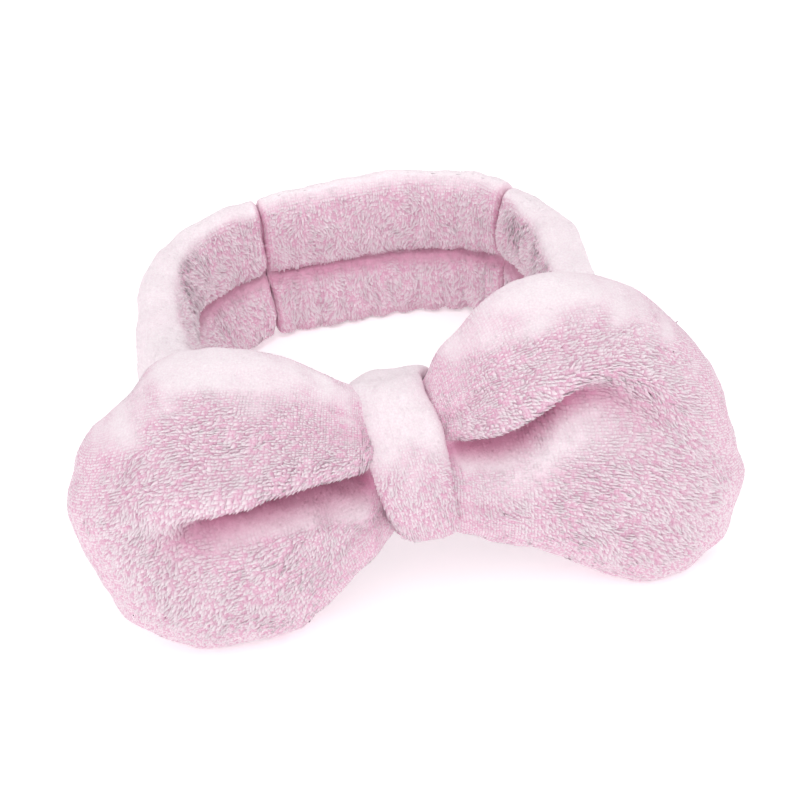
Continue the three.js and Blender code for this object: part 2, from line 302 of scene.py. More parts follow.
def length_along(line):
    """The distance travelled along a line at each of its points."""
    return np.concatenate([[0], np.cumsum(np.linalg.norm(np.diff(line, axis=0), axis=1))])


def even_steps(line, shares):
    """The points at some shares of a line's length."""
    travelled = length_along(line)
    targets = np.asarray(shares) * travelled[-1]
    return np.stack([np.interp(targets, travelled, line[:, axis]) for axis in range(line.shape[1])], -1)


def tube_quads(rings, sides):
    """Quads of a tube of rings, closed round each ring."""
    ring, side = np.meshgrid(np.arange(rings - 1), np.arange(sides), indexing="ij")
    after = (side + 1) % sides
    quads = np.stack([ring * sides + side, ring * sides + after, (ring + 1) * sides + after,
                      (ring + 1) * sides + side], -1)
    return quads.reshape(-1, 4)


def capped_tube(rings_of_points):
    """The points and quads of a tube, its two ends closed with fans of quads to a middle point."""
    rings, sides = rings_of_points.shape[:2]
    middles = [rings_of_points[0].mean(0), rings_of_points[-1].mean(0)]
    points = np.concatenate([rings_of_points.reshape(-1, 3), middles])
    last = (rings - 1) * sides
    fans = []
    for side in range(0, sides, 2):
        middle, after = (side + 1) % sides, (side + 2) % sides
        fans.append([side, rings * sides, after, middle])
        fans.append([last + side, last + middle, last + after, rings * sides + 1])
    return points, np.concatenate([tube_quads(rings, sides), fans])


# ---- Skins of fleece ----

class Skin:
    """A closed skin of quads in millimetres. Each point has the way its pile lies, the pile's length and
    roughness, whose colour is partly painted light, paler where smooth and darker where rough, the painted
    shade it takes from a fold, and how far it is on the band's inner face."""

    def __init__(self, points, quads):
        self.points = points
        self.quads = quads
        self.flow = np.zeros_like(points)
        self.length = np.ones(len(points))
        self.texture = np.ones(len(points))
        self.fold = np.zeros(len(points))
        self.inner = np.zeros(len(points))

    def normals(self):
        """The skin's outward direction at each of its points."""
        corners = self.points[self.quads]
        faces = np.cross(corners[:, 2] - corners[:, 0], corners[:, 3] - corners[:, 1])
        total = np.zeros_like(self.points)
        for corner in range(4):
            np.add.at(total, self.quads[:, corner], faces)
        return unit(total)

    def spacing(self):
        """The least side, in millimetres, of the quads that meet at each point."""
        corners = self.points[self.quads]
        sides = np.linalg.norm(corners - np.roll(corners, -1, 1), axis=-1).min(1)
        least = np.full(len(self.points), 10.0)
        for corner in range(4):
            np.minimum.at(least, self.quads[:, corner], sides)
        return np.minimum(least, 1.3)

    def soften(self, amounts, seed):
        """Uneven padding: moves the skin in and out by (amount, size) pairs in millimetres."""
        normals = self.normals()
        for step, (amount, size) in enumerate(amounts):
            self.points = self.points + normals * (amount * ripple(self.points, size, seed + step))[:, None]

    def rest_on_floor(self, clearance):
        """Spreads what would be under the floor forwards along it."""
        under = np.maximum(clearance - self.points[:, 2], 0)
        self.points[:, 2] += under
        self.points[:, 1] -= 0.9 * under * (self.points[:, 1] < 0)


def gather_locks(tips, centres, share, seed):
    """Draws tufts towards the nearest of the tufts that lead a lock, by a share of the way."""
    leaders = np.random.default_rng(seed).permutation(len(centres))[: max(1, len(centres) // 6)]
    tree = KDTree(len(leaders))
    for place, leader in enumerate(leaders):
        tree.insert(centres[leader], place)
    tree.balance()
    nearest = leaders[[tree.find(centre)[1] for centre in centres]]
    gathered = tips[nearest] + 0.6 * (centres - centres[nearest])
    return mix(tips, gathered, share[:, None])


def move_roots(skin, normals, spacing, random):
    """The skin's points moved a little along it, so that the tufts don't stand in rows."""
    drift = random.normal(size=skin.points.shape) * (spacing * (0.08 + 0.14 * skin.texture))[:, None]
    return skin.points + drift - normals * (drift * normals).sum(1, keepdims=True)


def comb_tufts(skin, centres, outward, curl, seed, random):
    """The way each tuft lies along the skin, and how much it leans: less where its comb runs off it."""
    flow = unit(skin.flow[skin.quads].mean(1))
    flow = flow - outward * (flow * outward).sum(1, keepdims=True)
    lean = np.clip(np.linalg.norm(flow, axis=1) ** 2, 0.25, 1)
    flow = unit(flow)
    swirl = curl * (0.8 * ripple(centres, 6.0, seed) + 0.55 * random.normal(size=len(centres)))
    across = np.cross(outward, flow)
    return flow * np.cos(swirl)[:, None] + across * np.sin(swirl)[:, None], lean


def grow_pile(skin, height, reach, seed, curl=0.6):
    """Turns each quad of a skin into a leaning tuft, long or short. Gives the new points and triangles, the
    way each point faces, how far it is from root to tip, its random tone and its painted shade from a fold."""
    random = np.random.default_rng(seed)
    normals = skin.normals()
    spacing = skin.spacing()
    roots = move_roots(skin, normals, spacing, random)
    centres = roots[skin.quads].mean(1)
    outward = unit(normals[skin.quads].mean(1))
    texture = skin.texture[skin.quads].mean(1)
    flow, lean = comb_tufts(skin, centres, outward, curl, seed, random)
    long = mix(0.4, np.where(random.random(len(centres)) < LONG_SHARE, 1.0, SHORT_TUFT), texture)
    uneven = 1 + 0.2 * ripple(centres, 3.0, seed + 1) + 0.2 * random.normal(size=len(centres))
    length = np.clip(skin.length[skin.quads].mean(1) * long * uneven, 0.05, 1.7)
    length = length * np.clip(1.2 * spacing[skin.quads].min(1), 0.2, 1)
    along = reach * length * lean * mix(0.3, 1.0, texture)
    tips = centres + outward * (height * length)[:, None] + flow * along[:, None]
    tips = gather_locks(tips, centres, 0.3 * texture * (long > 0.5), seed)
    tips[:, 2] = np.maximum(tips[:, 2], 0.05)

    apex = len(roots) + np.arange(len(skin.quads))
    triangles = np.stack([np.stack([skin.quads[:, side], skin.quads[:, (side + 1) % 4], apex], -1)
                          for side in range(4)], 1).reshape(-1, 3)
    rise = np.clip(long + 0.1 * random.normal(size=len(centres)), 0, 1)
    tone = np.clip(0.5 + 0.3 * random.normal(size=len(centres)), 0, 1)
    # The tuft value runs from the root's pinker painted shade to the pale tip, and stays near EVEN_SHADE
    # where the pile is smooth, painted paler. The fold value is painted shade. The shade value is only a
    # random tone.
    values = {
        "tuft": np.concatenate([EVEN_SHADE * (1 - skin.texture), mix(EVEN_SHADE, rise, texture)]),
        "shade": np.concatenate([np.full(len(roots), 0.5), tone]),
        "fold": np.concatenate([skin.fold, skin.fold[skin.quads].mean(1)]),
    }
    facing = np.concatenate([normals, unit(outward + 0.2 * random.normal(size=outward.shape))])
    return np.concatenate([roots, tips]), triangles, facing, values


def make_mesh(name, points, faces, values=None, smooth=True, facing=None):
    """A mesh object from points in millimetres, with named values at its points. Where the way that each
    point faces is given, the light falls on it so."""
    mesh = bpy.data.meshes.new(name)
    mesh.from_pydata((np.asarray(points) * MM).tolist(), [], np.asarray(faces).tolist())
    for key, numbers in (values or {}).items():
        layer = mesh.attributes.new(key, "FLOAT", "POINT")
        layer.data.foreach_set("value", np.ascontiguousarray(numbers, np.float32))
    mesh.polygons.foreach_set("use_smooth", [smooth] * len(mesh.polygons))
    mesh.update()
    if facing is not None:
        mesh.normals_split_custom_set_from_vertices(facing.tolist())
    piece = bpy.data.objects.new(name, mesh)
    bpy.context.scene.collection.objects.link(piece)
    return piece


def make_fleece(name, skin, seed, material, curl=0.6):
    """A piece of fleece from a skin."""
    settings = bpy.context.scene.headband_fleece
    points, triangles, facing, values = grow_pile(
        skin, settings.pile_height / MM, settings.pile_reach / MM, seed, curl)
    piece = make_mesh(name, points, triangles, values, facing=facing)
    piece.data.materials.append(material)
    return piece


# ---- The band ----

class BandPlace:
    """The band's line at u, a share of the turn from the front towards +X, as arrays."""

    def __init__(self, u):
        self.u = np.asarray(u, float)
        self.middle = self.line(self.u)
        ahead = self.line(self.u + 1e-4) - self.line(self.u - 1e-4)
        out = unit(np.stack([ahead[:, 1], -ahead[:, 0], 0 * self.u], -1))
        near_front = self.middle[:, 1] < LINE_SHIFT
        off_centre = np.abs(self.middle[:, 0])
        self.held = np.where(near_front, 1 - smooth_step(off_centre, 14.5, 41.5), 0)
        lean = BOW_LEAN * np.where(near_front, 1 - smooth_step(off_centre, 14.5, 65.5), 0)
        cosine, sine = np.cos(lean)[:, None], np.sin(lean)[:, None]
        self.up = cosine * UP - sine * out
        self.out = cosine * out + sine * UP

    @staticmethod
    def line(u):
        """The band's middle line."""
        across = np.sin(2 * np.pi * u)
        along = -np.cos(2 * np.pi * u)
        power = np.where(along < 0, FRONT_SQUARENESS, BACK_SQUARENESS)
        wide, deep = np.abs(across / LINE_HALF_WIDTH), np.abs(along / LINE_HALF_DEPTH)
        reach = (wide ** power + deep ** power) ** (-1 / power)
        height = REST_HEIGHT + FRONT_LIFT * smooth_step(-reach * along, 0, LINE_HALF_DEPTH)
        return np.stack([reach * across, reach * along + LINE_SHIFT, height], -1)


def band_sizes(place):
    """The height, thickness and crease of the band at some places."""
    settings = bpy.context.scene.headband_band
    turn = place.u % 1.0
    to_join = np.minimum(np.abs(turn - RIGHT_JOIN), np.abs(turn - LEFT_JOIN)) * 2 * np.pi * LINE_HALF_WIDTH
    draw = JOIN_DRAW * (1 - smooth_step(to_join, 0, JOIN_DRAW_REACH))
    at_back = smooth_step(np.minimum(turn, 1 - turn), RIGHT_JOIN * 0.6, RIGHT_JOIN)
    height = mix(settings.height, settings.back_height, at_back) / MM
    thickness = mix(settings.thickness / MM, BACK_THICKNESS, at_back)
    crease = mix(settings.crease / MM, PINCHED_CREASE, place.held)
    height = mix(height, PINCH_HEIGHT, place.held) - draw
    thickness = mix(thickness, PINCH_THICKNESS, place.held) - draw
    return height, thickness, crease


def band_section(height, thickness, crease, sides):
    """The outline of the band's section: how far out and how far up each of its points is."""
    angle = np.linspace(0, 2 * np.pi, 361)
    up = -height / 2 * signed_power(np.sin(angle), 0.8)
    out = thickness / 2 * signed_power(np.cos(angle), 0.7)
    tight = np.exp(-np.abs(up + 1.0) / 3.4)
    out = np.where(out < 0, out + crease * tight, out)
    return even_steps(np.stack([out, up], -1), np.linspace(0, 1, sides, endpoint=False))


def band_skin(start, stop, rings, sides, gathered):
    """The skin of a sleeve from one u to another, rolled in at both ends."""
    place = BandPlace(np.linspace(start, stop, rings))
    travelled = length_along(place.middle)
    to_end = np.minimum(travelled, travelled[-1] - travelled)
    roll = END_ROLL * (1 - np.sqrt(1 - np.clip(1 - to_end / END_ROLL, 0, 1) ** 2))
    inset = 0.8 + np.minimum(roll, 3.0)
    sections = np.stack([band_section(high - 2 * trim, thick - 2 * trim, deep, sides)
                         for high, thick, deep, trim in zip(*band_sizes(place), inset)])
    out, up = sections[..., 0], sections[..., 1]
    inner = smooth_step(-out, 0, 4)
    lower = smooth_step(-up, 0, 8)
    turn = place.u % 1.0
    flare = smooth_step(turn, 0.5, 0.62) * (1 - smooth_step(turn, 0.66, 0.76))
    out = out - 5.0 * flare[:, None] * lower * inner * smooth_step(-up, 4, 20)
    if gathered:
        out = out + gathers(travelled, to_end, lower * inner) * np.where(out < 0, 1, -1)
    points = place.middle[:, None] + out[..., None] * place.out[:, None] + up[..., None] * place.up[:, None]
    skin = Skin(*capped_tube(points))
    skin.inner = np.append(inner.ravel(), [0, 0])
    mark_band(skin, np.append(up.ravel(), [0, 0]), np.append(np.repeat(to_end, sides), [0, 0]))
    return skin


def gathers(travelled, to_end, low_inner):
    """How far the gathers draw a sleeve's cloth in, most at the foot of its inner face."""
    settings = bpy.context.scene.headband_band
    pleat = np.abs(np.sin(np.pi * travelled / (settings.gather_length / MM)))[:, None] ** 0.8
    lean = 0.5 + 0.5 * np.sin(travelled / 11.0)[:, None]
    depth = settings.gather / MM * (0.35 + 0.9 * low_inner + 0.25 * lean)
    return depth * (1 - pleat) * smooth_step(to_end, 0, 9)[:, None]


def mark_band(skin, heights, to_end):
    """Marks the band's crease, the foot of its inner face and its ends with painted fold shade, and shortens
    the pile at its ends.
    """
    # Painted shade: darker pink in the crease, along the foot of the inner face and at the rolled ends.
    crease = 0.85 * skin.inner * swell(heights, -2.2, 2.6)
    foot = 0.45 * skin.inner * smooth_step(-heights, 19, 25)
    ends = 0.4 * (1 - smooth_step(to_end, 0, 2.5))
    skin.fold = np.maximum(np.maximum(crease, foot), ends)
    skin.length = 0.35 + 0.65 * smooth_step(to_end, 0, 4)


def comb_band(skin, seed, smoothest=0.88):
    """Lays the band's pile downwards with wide swirls, and smooths it outside and where it faces up. Smooth
    pile is coloured paler, so the upward faces of the inner side are painted light.
    """
    normals = skin.normals()
    around = unit(np.cross(normals, UP) + 1e-6)
    swirl = 0.55 * ripple(skin.points, 9.0, seed)
    skin.flow = -UP * np.cos(swirl)[:, None] + around * np.sin(swirl)[:, None]
    # Painted light: the inner face is smooth and paler where it turns up, rough and darker elsewhere; the
    # outside is smooth and paler all over.
    skin.texture = mix(0.12, 1 - smoothest * smooth_step(normals[:, 2], 0.35, 0.85), skin.inner)
    skin.length = skin.length * mix(0.55, 1.0, skin.texture)


# ---- The bow ----

def in_bow(x, up, out):
    """Points of the bow's own frame, in the whole headband's frame."""
    return (BOW_CENTRE + np.stack([x, 0 * x, 0 * x], -1) + np.asarray(up)[..., None] * BOW_UP
            + np.asarray(out)[..., None] * BOW_OUT)


def inset_edge(edge, amount):
    """A lobe's edge drawn in by an amount, as top, end and foot points of even spacing."""
    whole = np.concatenate([np.array(edge["top"], float), np.array(edge["end"][1:], float),
                            np.array(edge["foot"][::-1][1:], float)])
    fine = along_curve(whole, 400)
    ahead = unit(np.gradient(fine, axis=0))
    inward = np.stack([ahead[:, 1], -ahead[:, 0]], -1) * (1 if whole[len(whole) // 2, 0] > 0 else -1)
    drawn = fine + inward * amount
    first, second = [np.argmin(np.linalg.norm(fine - np.array(edge[part][-1], float), axis=1))
                     for part in ("top", "end")]
    return drawn[: first + 1], drawn[first: second + 1], drawn[second:][::-1]


def lobe_patch(edge, amount, along, across):
    """Even points over a lobe, from its root to its end and from its foot to its top."""
    top, end, foot = inset_edge(edge, amount)
    a = 0.5 - 0.5 * np.cos(np.pi * (0.12 + 0.88 * np.linspace(0, 1, along)))
    a = (a - a[0]) / (a[-1] - a[0])
    half_turn = np.pi * np.linspace(0, 1, across)
    b = 0.5 - 0.5 * np.cos(half_turn) * (1 - 0.25 * np.sin(half_turn))
    upper, lower = even_steps(top, a)[:, None], even_steps(foot, a)[:, None]
    far = even_steps(end[::-1], b)[None]
    near = mix(foot[0], top[0], b[:, None])[None]
    a, b = a[:, None, None], b[None, :, None]
    corners = ((1 - a) * (1 - b) * foot[0] + a * (1 - b) * foot[-1]
               + (1 - a) * b * top[0] + a * b * top[-1])
    return (1 - b) * lower + b * upper + (1 - a) * near + a * far - corners


def edge_distance(points, edge, amount):
    """How far each point is from a lobe's edge, its root left out."""
    top, end, foot = inset_edge(edge, amount)
    line = np.concatenate([top, end[1:], foot[::-1][1:]])
    nearest = np.full(points.shape[:-1], 1e9)
    for start, stop in zip(line[:-1:2], line[2::2]):
        way = stop - start
        share = np.clip(((points - start) @ way) / max(way @ way, 1e-9), 0, 1)
        gap = np.linalg.norm(points - start - share[..., None] * way, axis=-1)
        nearest = np.minimum(nearest, gap)
    return nearest


def fold_at(fold, x):
    """The fold's rise, depth and softness at x."""
    table = np.array(sorted(fold))
    return [np.interp(x, table[:, 0], table[:, column]) for column in (1, 2, 3)]


def edge_round(distance, radius):
    """How much of its full depth a lobe has at some distance from its edge."""
    return np.sqrt(1 - (1 - np.clip(distance / radius, 0, 1)) ** 2.2)


def lobe_puff(off, up, distance):
    """How far a lobe's front and back stand off its middle before its fold, and how round its front is."""
    settings = bpy.context.scene.headband_bow
    puff = smooth_step(off, 11, 46)
    at_root = np.sqrt(np.clip((off - off.min()) / 5.0, 0, 1))
    front_round = edge_round(distance, mix(9, 17, puff)) * at_root
    neck = mix(settings.root_depth / MM, NECK_DEPTH, smooth_step(off, 8.5, 15.5))
    full = settings.front_depth / MM * (1 - 0.12 * smooth_step(-up, -2, 22))
    crown = 1 - 0.10 * ((off - 52) / 45) ** 2 - 0.05 * (up / 45) ** 2
    front = mix(neck, full, puff) * front_round * crown
    back = mix(BACK_NECK_DEPTH, settings.back_depth / MM, smooth_step(off, 24, 52))
    return front, back * edge_round(distance, 9.0) * at_root, front_round


def fold_wall(above, depth, soft, side):
    """How far the fold sinks at some height above its lip: steeply under the lip, then slowly."""
    over = np.exp(-(above / (2.8 * soft)) ** 2)
    under = np.exp(-np.abs(above / (9.5 * soft)) ** 2.6)
    slot_depth = LEFT_SLOT if side < 0 else RIGHT_SLOT
    slot = slot_depth * swell(above, -2.5, 2.5) * smooth_step(depth, 3, 9)
    return depth * np.where(above > 0, over, under) + slot


def lobe_skin(side, edge, fold, inset=0.0, along=132, across=124):
    """The skin of one lobe: two puffed faces that meet round its edge, with a fold down its front.
    An inset draws it in on all sides, for the filling."""
    flat = lobe_patch(edge, EDGE_INSET + inset, along, across)
    x, up = flat[..., 0], flat[..., 1]
    off = np.abs(x)
    distance = edge_distance(flat, edge, EDGE_INSET + inset)
    distance[[0, -1]] = 0
    distance[:, [0, -1]] = 0
    front, back, front_round = lobe_puff(off, up, distance)
    rise, depth, soft = fold_at(fold, x)
    above = up - rise
    past_knot = smooth_step(off, 9, 17)
    valley = np.minimum(fold_wall(above, depth, soft, side), (front + back - LEAST_DEPTH).clip(0))
    valley = valley * smooth_step(distance, 2, 12) * past_knot
    if side > 0:
        valley = valley + 2.4 * swell(off, 68, 11) * swell(up, 6, 8)
    lip = LIP_SWELL * swell(above, 8, 5.5) * smooth_step(depth, 2, 9) * front_round
    droop = LIP_DROOP * swell(above, 2.6, 3.4) * smooth_step(depth, 4, 11) * past_knot
    pleats = near_knot_pleats(side, off, up, distance)
    front = front - valley + lip - pleats
    middle, half = (front - back) / 2, (front + back) / 2
    half = np.maximum(half - 1.4 * inset, 0.05 * half)
    out = np.stack([middle + half, middle - half], 0)
    points = in_bow(np.stack([x, x], 0), np.stack([up - droop, up], 0), out).reshape(2, -1, 3)
    skin = Skin(*stitched(points, along, across, side))
    # Painted shade on the front from the fold and the pleats; the back takes none.
    shade = fold_shade(above, depth, pleats, side, off, up).ravel()
    behind = inner_places(along, across)
    skin.fold = np.append(shade, np.zeros(len(behind)))
    trimmed = mix(0.4, 1.0, smooth_step(distance, 2, 13)).ravel()
    skin.length = np.append(trimmed, trimmed[behind])
    return skin


def near_knot_pleats(side, off, up, distance):
    """Short pleats that run out from the knot above and below the fold."""
    pleats = 0.0
    if side > 0:
        slopes = ((0.62, 0.8), (0.30, 0.9), (-0.34, 1.2), (-0.66, 0.8))
    else:
        slopes = ((0.45, 0.9), (0.75, 0.6), (-0.5, 1.0), (-0.8, 0.7))
    for slope, depth in slopes:
        height = 19 * np.sign(slope) * abs(slope) ** 0.5 + slope * (off - 12)
        pleats = pleats + depth * swell(up, height, 1.9) * (1 - smooth_step(off, 14, 30))
    return pleats * smooth_step(distance, 1, 6)


def fold_shade(above, depth, pleats, side, off, up):
    """How much painted shade each point of a lobe's front takes: most just under the fold's lip, fading
    further down, with some in the pleats by the knot and in a patch of the right lobe's bowl.
    """
    under = 7.0 if side < 0 else 4.2
    wall = np.where(above > -3.0, swell(above, -3.0, 3.4), swell(above, -3.0, under))
    shade = wall * smooth_step(depth, 1, 9) + 0.25 * np.clip(pleats, 0, 1)
    if side > 0:
        shade = shade + 0.15 * swell(off, 66, 9) * swell(up, 9, 6)
    return np.clip(shade, 0, 1)


def inner_places(along, across):
    """The places of a grid that aren't on its edge."""
    grid = np.arange(along * across).reshape(along, across)
    return grid[1:-1, 1:-1].ravel()


def grid_quads(places):
    """The quads between a grid's places."""
    corners = [places[:-1, :-1], places[1:, :-1], places[1:, 1:], places[:-1, 1:]]
    return np.stack(corners, -1).reshape(-1, 4)


def stitched(faces, along, across, side):
    """Joins a lobe's front and back grids into one closed skin: its points and quads."""
    grid = np.arange(along * across).reshape(along, across)
    behind = grid.copy()
    inside = inner_places(along, across)
    behind[1:-1, 1:-1] = along * across + np.arange(len(inside)).reshape(along - 2, across - 2)
    points = np.concatenate([faces[0], faces[1][inside]])
    return points, np.concatenate([grid_quads(grid)[:, ::side], grid_quads(behind)[:, ::-side]])


def comb_lobe(skin, side, fold, seed):
    """Lays a lobe's pile outwards from the knot, falling at its end, and smooths it where it faces up and, on
    the right lobe, on the flat under its fold. The smooth places are coloured paler, as painted light."""
    normals = skin.normals()
    from_knot = skin.points - BOW_CENTRE
    out = unit(from_knot * [1, 1, 0.75])
    fall = smooth_step(np.abs(from_knot[:, 0]), 55, 100)[:, None] * np.array([0, 0, -0.9])
    skin.flow = unit(out + fall + np.array([0, 0, -0.12]))
    # Painted light: the upward faces, and the flat under the right lobe's fold, are made smooth and so paler;
    # the rest stays rough and darker.
    smooth = smooth_step(normals[:, 2] + 0.05 * ripple(skin.points, 7.0, seed), 0.55, 0.99)
    if side > 0:
        below = from_knot @ BOW_UP - fold_at(fold, from_knot[:, 0])[0]
        flat = swell(from_knot[:, 0], 42, 17) * swell(below, -12.5, 6.5)
        smooth = np.maximum(smooth, 0.8 * flat * (from_knot @ BOW_OUT > 0))
    skin.texture = 1 - 0.88 * smooth
    skin.length = skin.length * (1 - 0.35 * smooth)


def knot_loop(rings):
    """The wrap's outer line round the bow's waist and the band: how far out and up each of its points is."""
    turn = np.linspace(0, 2 * np.pi, rings, endpoint=False)
    half_deep = (KNOT_FRONT - KNOT_BACK) / 2 - 1.2
    up = KNOT_RISE + KNOT_HALF_HEIGHT * signed_power(np.sin(turn), 0.5)
    out = (KNOT_FRONT + KNOT_BACK) / 2 - half_deep * signed_power(np.cos(turn), 0.62)
    closed = np.stack([out, up], -1)[np.append(np.arange(rings), 0)]
    return even_steps(closed, np.linspace(0, 1, rings + 1))[:-1]


def knot_skin(rings=150, sides=68):
    """The wrap: a padded ring of fleece round the bow's waist and the pinched band."""
    settings = bpy.context.scene.headband_bow
    half_width = settings.knot_width / MM / 2 - 0.9
    section = np.linspace(0, 2 * np.pi, 241)
    profile = np.stack([half_width * signed_power(np.cos(section), 0.45),
                        KNOT_HALF_PAD * signed_power(np.sin(section), 0.9)], -1)
    across, thick = even_steps(profile, np.linspace(0, 1, sides, endpoint=False)).T
    loop = knot_loop(rings)
    centre = (KNOT_FRONT + KNOT_BACK) / 2
    ahead = unit(np.roll(loop, -1, 0) - np.roll(loop, 1, 0))
    away = np.stack([-ahead[:, 1], ahead[:, 0]], -1)
    at_front = smooth_step(loop[:, 0], centre, KNOT_FRONT - 4)[:, None]
    narrow = 1 - 0.12 * smooth_step(np.abs(loop[:, 1] - 3), 8, 24)
    sweep = -0.17 * smooth_step(loop[:, 0], KNOT_BACK + 4, centre) * loop[:, 1]
    x = across * narrow[:, None] + sweep[:, None] + 0.8
    crown = 2.4 * at_front * (1 - (across / half_width) ** 2)
    away_by = thick - KNOT_HALF_PAD + np.where(thick > 0, crown, 0)
    points = in_bow(x, loop[:, 1:] + away[:, 1:] * away_by, loop[:, :1] + away[:, :1] * away_by)
    quads = tube_quads(rings + 1, sides) % (rings * sides)
    return Skin(points.reshape(-1, 3), quads)


def comb_knot(skin, seed):
    """Lays the knot's pile downwards, smooth and paler at the top of its front, as painted light, and rough
    and darker below, with painted shade on its sides where they face the lobes.
    """
    normals = skin.normals()
    up = (skin.points - BOW_CENTRE) @ BOW_UP
    skin.flow = np.array([0.15, 0.0, -1.0]) + 0.3 * normals
    # Painted light: the top of the front is smooth and paler, the rest rough and darker.
    smooth = smooth_step(up + 4.0 * ripple(skin.points, 6.0, seed), -7, 13)
    skin.texture = 1 - 0.85 * smooth
    skin.length = 0.8 - 0.15 * smooth
    # Painted shade on the sides that face the lobes.
    skin.fold = 0.2 * smooth_step(np.abs(normals[:, 0]), 0.55, 0.95)


# ---- Materials ----

def new_material(name):
    """A material with its nodes, its links and its shader."""
    material = bpy.data.materials.new(name)
    material.use_nodes = True
    nodes, links = material.node_tree.nodes, material.node_tree.links
    shader = nodes["Principled BSDF"]
    return material, nodes, links, shader


def value_of(nodes, name):
    """The output of a value held at the mesh's points."""
    node = nodes.new("ShaderNodeAttribute")
    node.attribute_name = name
    return node.outputs["Fac"]


def noise(nodes, links, scale, detail=3.0, stretch=None):
    """Noise in the object's own space, in features per metre."""
    place = nodes.new("ShaderNodeTexCoord")
    node = nodes.new("ShaderNodeTexNoise")
    node.inputs["Scale"].default_value = scale
    node.inputs["Detail"].default_value = detail
    source = place.outputs["Object"]
    if stretch:
        mapping = nodes.new("ShaderNodeMapping")
        mapping.inputs["Scale"].default_value = stretch
        links.new(source, mapping.inputs["Vector"])
        source = mapping.outputs["Vector"]
    links.new(source, node.inputs["Vector"])
    return node.outputs["Fac"]


def map_value(nodes, links, source, low, high, to_low, to_high):
    """A value moved from one range to another."""
    node = nodes.new("ShaderNodeMapRange")
    for key, number in (("From Min", low), ("From Max", high), ("To Min", to_low), ("To Max", to_high)):
        node.inputs[key].default_value = number
    links.new(source, node.inputs["Value"])
    return node.outputs["Result"]


def mix_colours(nodes, links, share, first, second, way="MIX"):
    """One colour mixed into another. A colour is a list of numbers or an output."""
    node = nodes.new("ShaderNodeMix")
    node.data_type = "RGBA"
    node.blend_type = way
    for key, source in (("Factor", share), ("A", first), ("B", second)):
        socket = node.inputs[key]
        if isinstance(source, bpy.types.NodeSocket):
            links.new(source, socket)
        elif isinstance(source, float):
            socket.default_value = source
        else:
            socket.default_value = (*source[:3], 1)
    return node.outputs["Result"]


def reckon(nodes, links, way, first, second):
    """Two values multiplied, added or raised to a power, kept from 0 to 1."""
    node = nodes.new("ShaderNodeMath")
    node.operation = way
    node.use_clamp = True
    links.new(first, node.inputs[0])
    if isinstance(second, float):
        node.inputs[1].default_value = second
    else:
        links.new(second, node.inputs[1])
    return node.outputs["Value"]


def add_bump(nodes, links, shader, height, strength, distance):
    """Fine relief from a height."""
    bump = nodes.new("ShaderNodeBump")
    bump.inputs["Strength"].default_value = strength
    bump.inputs["Distance"].default_value = distance
    links.new(height, bump.inputs["Height"])
    links.new(bump.outputs["Normal"], shader.inputs["Normal"])


def fleece_material(name, deepen):
    """Plush fleece: pale at the tips of its tufts and pinker between them, as painted shade among the tufts,
    and deeper pink in its folds, as painted shade.
    """
    settings = bpy.context.scene.headband_fleece
    material, nodes, links, shader = new_material(name)
    tip = [mix(value, value * value, deepen) for value in settings.tip_colour]
    root = [mix(value, value * value, deepen) for value in settings.root_shade_and_thread_colour]
    fibres = map_value(nodes, links, noise(nodes, links, 1700.0, 2.0), 0.3, 0.7, -0.14, 0.14)
    along = reckon(nodes, links, "ADD", value_of(nodes, "tuft"), fibres)
    paleness = reckon(nodes, links, "POWER", along, PALE_REACH)
    body = mix_colours(nodes, links, paleness, root, tip)
    patches = map_value(nodes, links, noise(nodes, links, 75.0, 3.0), 0.35, 0.7, 0.0, 0.08)
    body = mix_colours(nodes, links, patches, body, [value * 0.9 for value in root])
    lilac = map_value(nodes, links, value_of(nodes, "shade"), 0.6, 1.0, 0.0, 0.25)
    body = mix_colours(nodes, links, lilac, body, [0.80, 0.62, 0.78])
    # Painted shade: folds and creases are mixed towards the fold shade colour.
    deep = reckon(nodes, links, "MULTIPLY", value_of(nodes, "fold"), 0.9)
    body = mix_colours(nodes, links, deep, body, list(settings.fold_shade_colour))
    links.new(body, shader.inputs["Base Color"])
    shader.inputs["Roughness"].default_value = 0.95
    shader.inputs["Specular IOR Level"].default_value = 0.12
    shader.inputs["Sheen Weight"].default_value = 0.06
    shader.inputs["Sheen Roughness"].default_value = 0.55
    shader.inputs["Sheen Tint"].default_value = (1.0, 0.93, 0.965, 1)
    add_bump(nodes, links, shader, noise(nodes, links, 2600.0, 2.0), 0.35, 0.0004)
    return material


def grained_material(name, dark, pale, grain, roughness, sheen, relief):
    """A finish with one grain, of some scale, detail and stretch, that gives it two tones and its relief, of
    some strength and depth."""
    material, nodes, links, shader = new_material(name)
    height = noise(nodes, links, *grain)
    links.new(mix_colours(nodes, links, height, dark, pale), shader.inputs["Base Color"])
    shader.inputs["Roughness"].default_value = roughness
    shader.inputs["Sheen Weight"].default_value = sheen
    add_bump(nodes, links, shader, height, *relief)
    return material


def elastic_material(name):
    """Woven white elastic: fine ribs along its length, crossed by a knitted weft."""
    return grained_material(name, [0.62, 0.58, 0.57], [0.86, 0.84, 0.83],
                            (900.0, 2.0, (0.25, 0.25, 3.0)), 0.7, 0.2, (0.6, 0.0003))


def wadding_material(name):
    """White polyester wadding: soft clumps with fine fibres."""
    return grained_material(name, [0.72, 0.71, 0.70], [0.93, 0.92, 0.91],
                            (160.0, 6.0), 1.0, 0.4, (0.8, 0.001))


def thread_material(name):
    """Pink sewing thread: a fine twist of two plies."""
    # The thread's own pink is the fleece's root colour.
    pale = list(bpy.context.scene.headband_fleece.root_shade_and_thread_colour)
    dark = [value * 0.72 for value in pale]
    return grained_material(name, dark, pale, (2200.0, 1.0, (1.0, 1.0, 0.4)), 0.55, 0.15, (0.5, 0.0002))


